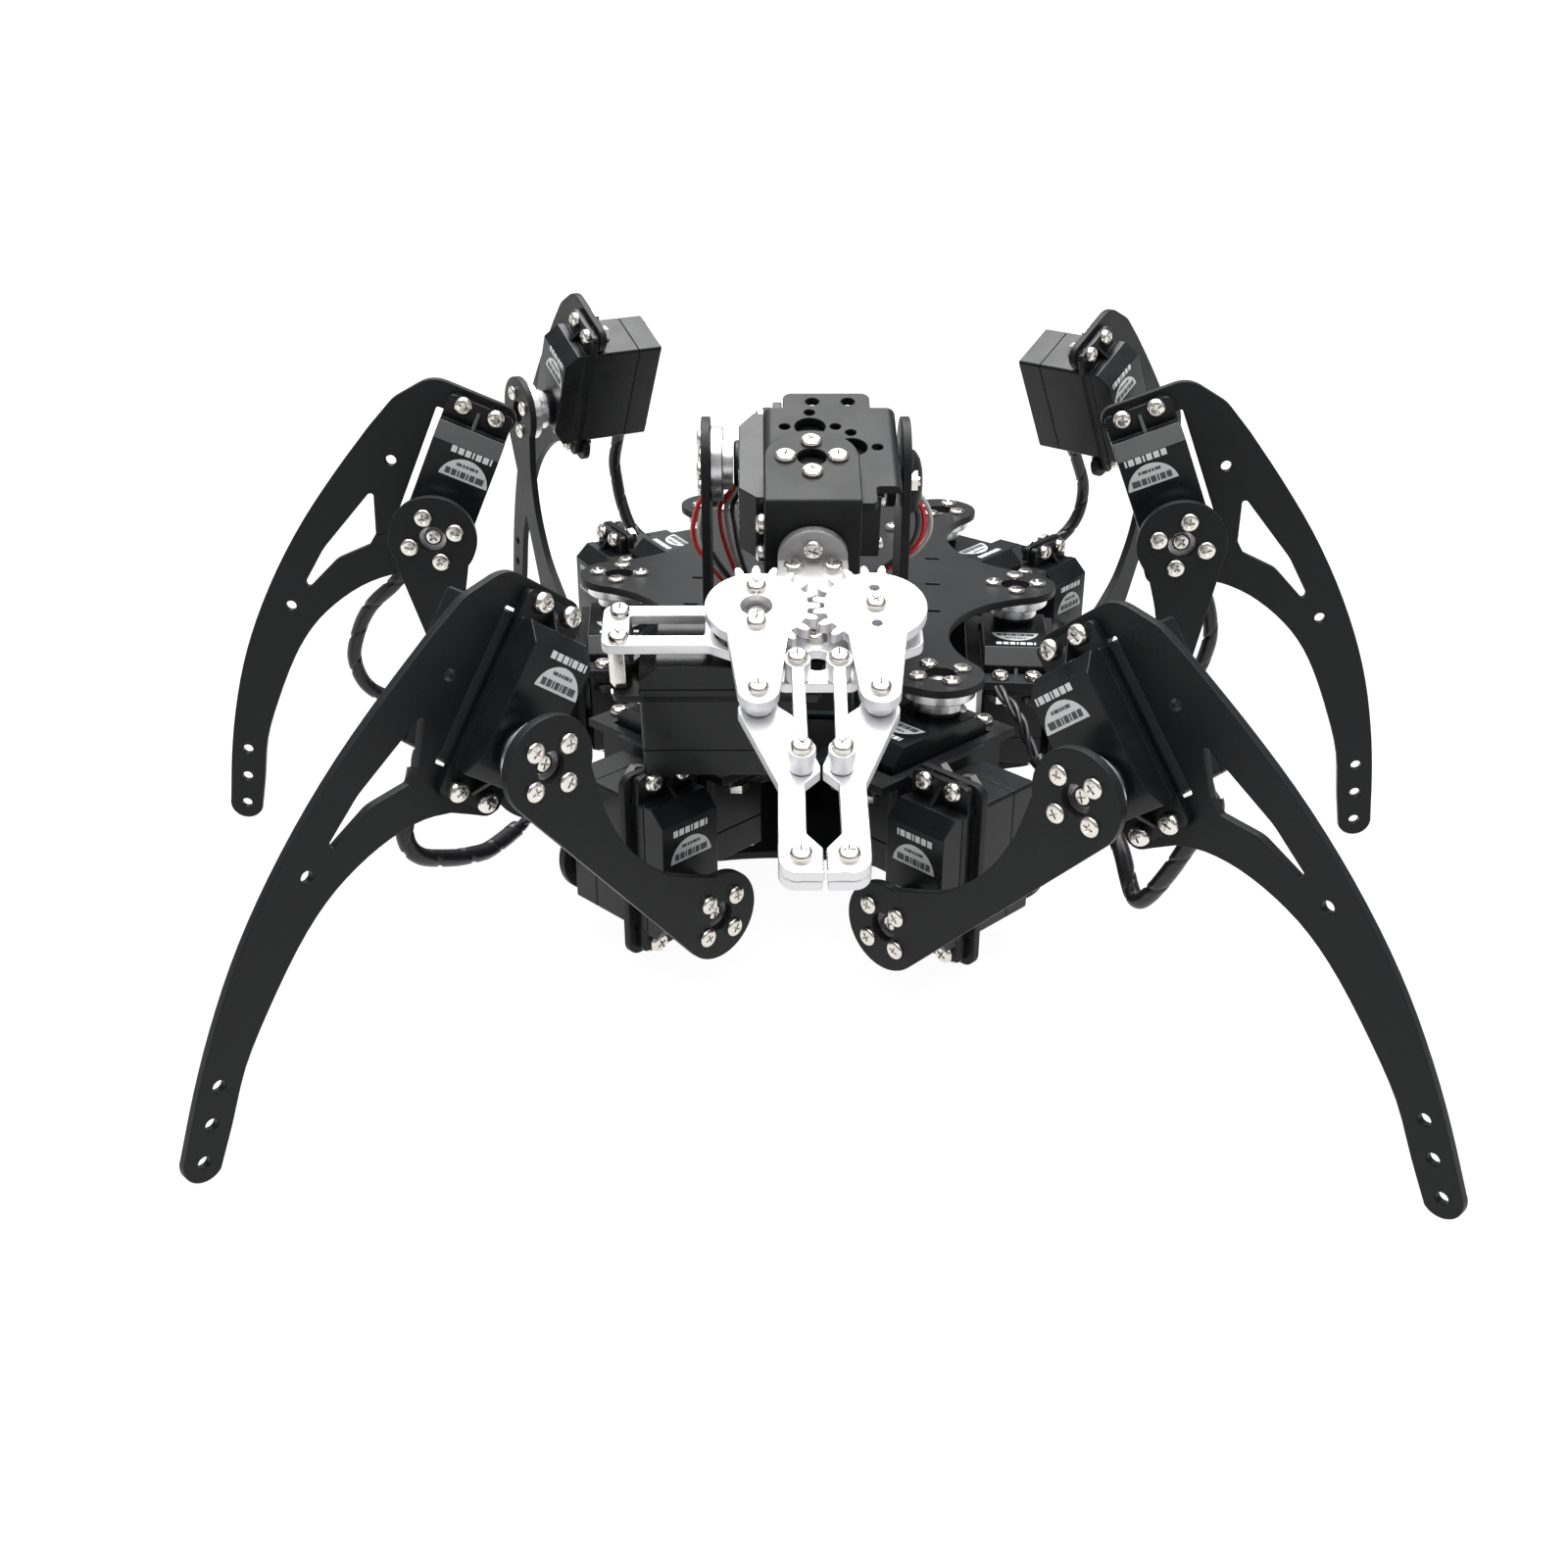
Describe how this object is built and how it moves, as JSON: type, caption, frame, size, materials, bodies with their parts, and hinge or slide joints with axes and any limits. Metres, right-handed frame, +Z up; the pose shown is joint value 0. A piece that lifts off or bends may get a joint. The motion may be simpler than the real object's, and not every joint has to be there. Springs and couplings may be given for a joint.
{
  "type": "hexapod walking robot",
  "caption": "Spider-like walking robot: lobed deck plates, jointed servo legs with curved plate shins, and a tilting two-finger gripper.",
  "frame": {"origin": "centre of the bounding box in plan, on the floor that the six feet stand on", "axes": "+Z up, -Y towards the front where the gripper points, +X to the right in the front view"},
  "size_m": [0.367, 0.4074, 0.1443],
  "materials": {
    "black_plate": "matte",
    "servo_plastic": "satin",
    "bright_aluminium": "satin",
    "cable_wrap": "satin",
    "battery_sleeve": "matte",
    "circuit_board": "satin"
  },
  "bodies": {
    "deck": {"top_deck": "black_plate", "bottom_deck": "black_plate", "control_board": "circuit_board", "battery_pack": "battery_sleeve", "head_bracket": "black_plate"},
    "front_left_hip": {"front_left_hip_servo": "servo_plastic", "front_left_hip_bracket": "black_plate", "front_left_femur_servo": "servo_plastic", "front_left_cable": "cable_wrap"},
    "front_left_femur": {"front_left_femur_plate": "black_plate"},
    "front_left_shin": {"front_left_knee_servo": "servo_plastic", "front_left_shin_plate": "black_plate"},
    "front_right_hip": {"front_right_hip_servo": "servo_plastic", "front_right_hip_bracket": "black_plate", "front_right_femur_servo": "servo_plastic", "front_right_cable": "cable_wrap"},
    "front_right_femur": {"front_right_femur_plate": "black_plate"},
    "front_right_shin": {"front_right_knee_servo": "servo_plastic", "front_right_shin_plate": "black_plate"},
    "mid_left_hip": {"mid_left_hip_servo": "servo_plastic", "mid_left_hip_bracket": "black_plate", "mid_left_femur_servo": "servo_plastic", "mid_left_cable": "cable_wrap"},
    "mid_left_femur": {"mid_left_femur_plate": "black_plate"},
    "mid_left_shin": {"mid_left_knee_servo": "servo_plastic", "mid_left_shin_plate": "black_plate"},
    "mid_right_hip": {"mid_right_hip_servo": "servo_plastic", "mid_right_hip_bracket": "black_plate", "mid_right_femur_servo": "servo_plastic", "mid_right_cable": "cable_wrap"},
    "mid_right_femur": {"mid_right_femur_plate": "black_plate"},
    "mid_right_shin": {"mid_right_knee_servo": "servo_plastic", "mid_right_shin_plate": "black_plate"},
    "rear_left_hip": {"rear_left_hip_servo": "servo_plastic", "rear_left_hip_bracket": "black_plate", "rear_left_femur_servo": "servo_plastic", "rear_left_cable": "cable_wrap"},
    "rear_left_femur": {"rear_left_femur_plate": "black_plate"},
    "rear_left_shin": {"rear_left_knee_servo": "servo_plastic", "rear_left_shin_plate": "black_plate"},
    "rear_right_hip": {"rear_right_hip_servo": "servo_plastic", "rear_right_hip_bracket": "black_plate", "rear_right_femur_servo": "servo_plastic", "rear_right_cable": "cable_wrap"},
    "rear_right_femur": {"rear_right_femur_plate": "black_plate"},
    "rear_right_shin": {"rear_right_knee_servo": "servo_plastic", "rear_right_shin_plate": "black_plate"},
    "head": {"tilt_servo": "servo_plastic", "tilt_bracket": "black_plate", "elbow_bracket": "black_plate", "claw_base": "bright_aluminium", "claw_servo": "servo_plastic"},
    "left_gear_arm": {"left_gear_arm": "bright_aluminium"},
    "left_link": {"left_link": "bright_aluminium"},
    "left_finger": {"left_finger": "bright_aluminium"},
    "right_gear_arm": {"right_gear_arm": "bright_aluminium"},
    "right_link": {"right_link": "bright_aluminium"},
    "right_finger": {"right_finger": "bright_aluminium"}
  },
  "joints": [
    {"name": "front_left_hip_yaw", "type": "hinge", "parent": "deck", "child": "front_left_hip", "pos_m": [-0.03574, -0.05184, 0], "axis": [0, 0, 1], "range_deg": [-18, 18], "deforming": ["front_left_cable"]},
    {"name": "front_left_femur_lift", "type": "hinge", "parent": "front_left_hip", "child": "front_left_femur", "pos_m": [-0.03221, -0.09135, 0.0215], "axis": [-0.7615, 0.6481, 0], "range_deg": [-35, 8], "deforming": ["front_left_cable"]},
    {"name": "front_left_knee_swing", "type": "hinge", "parent": "front_left_femur", "child": "front_left_shin", "pos_m": [-0.06723, -0.1325, 0.08477], "axis": [-0.7615, 0.6481, 0], "range_deg": [-40, 10], "deforming": ["front_left_cable"]},
    {"name": "front_right_hip_yaw", "type": "hinge", "parent": "deck", "child": "front_right_hip", "pos_m": [0.04306, -0.05184, 0], "axis": [0, 0, 1], "range_deg": [-18, 18], "deforming": ["front_right_cable"]},
    {"name": "front_right_femur_lift", "type": "hinge", "parent": "front_right_hip", "child": "front_right_femur", "pos_m": [0.04506, -0.09146, 0.0215], "axis": [-0.6639, -0.7478, 0], "range_deg": [-35, 20], "deforming": ["front_right_cable"]},
    {"name": "front_right_knee_swing", "type": "hinge", "parent": "front_right_femur", "child": "front_right_shin", "pos_m": [0.08867, -0.13018, 0.08084], "axis": [-0.6639, -0.7478, 0], "range_deg": [-40, 45], "deforming": ["front_right_cable"]},
    {"name": "mid_left_hip_yaw", "type": "hinge", "parent": "deck", "child": "mid_left_hip", "pos_m": [-0.06054, 0.02416, 0], "axis": [0, 0, 1], "range_deg": [-18, 18], "deforming": ["mid_left_cable"]},
    {"name": "mid_left_femur_lift", "type": "hinge", "parent": "mid_left_hip", "child": "mid_left_femur", "pos_m": [-0.0843, -0.00761, 0.0215], "axis": [-0.134, 0.991, 0], "range_deg": [-45, 35], "deforming": ["mid_left_cable"]},
    {"name": "mid_left_knee_swing", "type": "hinge", "parent": "mid_left_femur", "child": "mid_left_shin", "pos_m": [-0.10827, -0.01085, 0.10111], "axis": [-0.134, 0.991, 0], "range_deg": [-35, 45], "deforming": ["mid_left_cable"]},
    {"name": "mid_right_hip_yaw", "type": "hinge", "parent": "deck", "child": "mid_right_hip", "pos_m": [0.06786, 0.02416, 0], "axis": [0, 0, 1], "range_deg": [-18, 18], "deforming": ["mid_right_cable"]},
    {"name": "mid_right_femur_lift", "type": "hinge", "parent": "mid_right_hip", "child": "mid_right_femur", "pos_m": [0.09556, -0.00424, 0.0215], "axis": [-0.0035, -1, 0], "range_deg": [-45, 35], "deforming": ["mid_right_cable"]},
    {"name": "mid_right_knee_swing", "type": "hinge", "parent": "mid_right_femur", "child": "mid_right_shin", "pos_m": [0.11101, -0.00429, 0.10325], "axis": [-0.0035, -1, 0], "range_deg": [-30, 45], "deforming": ["mid_right_cable"]},
    {"name": "rear_left_hip_yaw", "type": "hinge", "parent": "deck", "child": "rear_left_hip", "pos_m": [-0.03684, 0.10116, 0], "axis": [0, 0, 1], "range_deg": [-18, 18], "deforming": ["rear_left_cable"]},
    {"name": "rear_left_femur_lift", "type": "hinge", "parent": "rear_left_hip", "child": "rear_left_femur", "pos_m": [-0.07585, 0.10838, 0.0215], "axis": [0.829, 0.5592, 0], "range_deg": [-45, 45], "deforming": ["rear_left_cable"]},
    {"name": "rear_left_knee_swing", "type": "hinge", "parent": "rear_left_femur", "child": "rear_left_shin", "pos_m": [-0.09335, 0.13433, 0.09859], "axis": [0.829, 0.5592, 0], "range_deg": [-40, 45], "deforming": ["rear_left_cable"]},
    {"name": "rear_right_hip_yaw", "type": "hinge", "parent": "deck", "child": "rear_right_hip", "pos_m": [0.04416, 0.10116, 0], "axis": [0, 0, 1], "range_deg": [-18, 18], "deforming": ["rear_right_cable"]},
    {"name": "rear_right_femur_lift", "type": "hinge", "parent": "rear_right_hip", "child": "rear_right_femur", "pos_m": [0.08346, 0.10654, 0.0215], "axis": [0.8018, -0.5976, 0], "range_deg": [-45, 45], "deforming": ["rear_right_cable"]},
    {"name": "rear_right_knee_swing", "type": "hinge", "parent": "rear_right_femur", "child": "rear_right_shin", "pos_m": [0.10557, 0.1362, 0.09602], "axis": [0.8018, -0.5976, 0], "range_deg": [-40, 45], "deforming": ["rear_right_cable"]},
    {"name": "head_tilt", "type": "hinge", "parent": "deck", "child": "head", "pos_m": [0.00426, -0.03344, 0.1262], "axis": [-0.9962, -0.0872, 0], "range_deg": [0, 60]},
    {"name": "left_gear_turn", "type": "hinge", "parent": "head", "child": "left_gear_arm", "pos_m": [-0.00499, -0.09984, 0.10434], "axis": [0.0277, -0.3161, 0.9483], "range_deg": [-40, 0]},
    {"name": "left_link_swing", "type": "hinge", "parent": "head", "child": "left_link", "pos_m": [0.00656, -0.11825, 0.09786], "axis": [0.0277, -0.3161, 0.9483], "range_deg": [-40, 0]},
    {"name": "left_finger_turn", "type": "hinge", "parent": "left_gear_arm", "child": "left_finger", "pos_m": [-0.002, -0.12947, 0.09437], "axis": [0.0277, -0.3161, 0.9483], "range_deg": [0, 40]},
    {"name": "right_gear_turn", "type": "hinge", "parent": "head", "child": "right_gear_arm", "pos_m": [0.0249, -0.09722, 0.10434], "axis": [0.0277, -0.3161, 0.9483], "range_deg": [0, 40]},
    {"name": "right_link_swing", "type": "hinge", "parent": "head", "child": "right_link", "pos_m": [0.01672, -0.11736, 0.09786], "axis": [0.0277, -0.3161, 0.9483], "range_deg": [0, 40]},
    {"name": "right_finger_turn", "type": "hinge", "parent": "right_gear_arm", "child": "right_finger", "pos_m": [0.02709, -0.12692, 0.09437], "axis": [0.0277, -0.3161, 0.9483], "range_deg": [-40, 0]}
  ],
  "couplings": [
    {"joint": "right_gear_turn", "follows": "left_gear_turn", "ratio": -1},
    {"joint": "left_link_swing", "follows": "left_gear_turn", "ratio": 1},
    {"joint": "right_link_swing", "follows": "left_gear_turn", "ratio": -1},
    {"joint": "left_finger_turn", "follows": "left_gear_turn", "ratio": -1},
    {"joint": "right_finger_turn", "follows": "left_gear_turn", "ratio": 1}
  ]
}
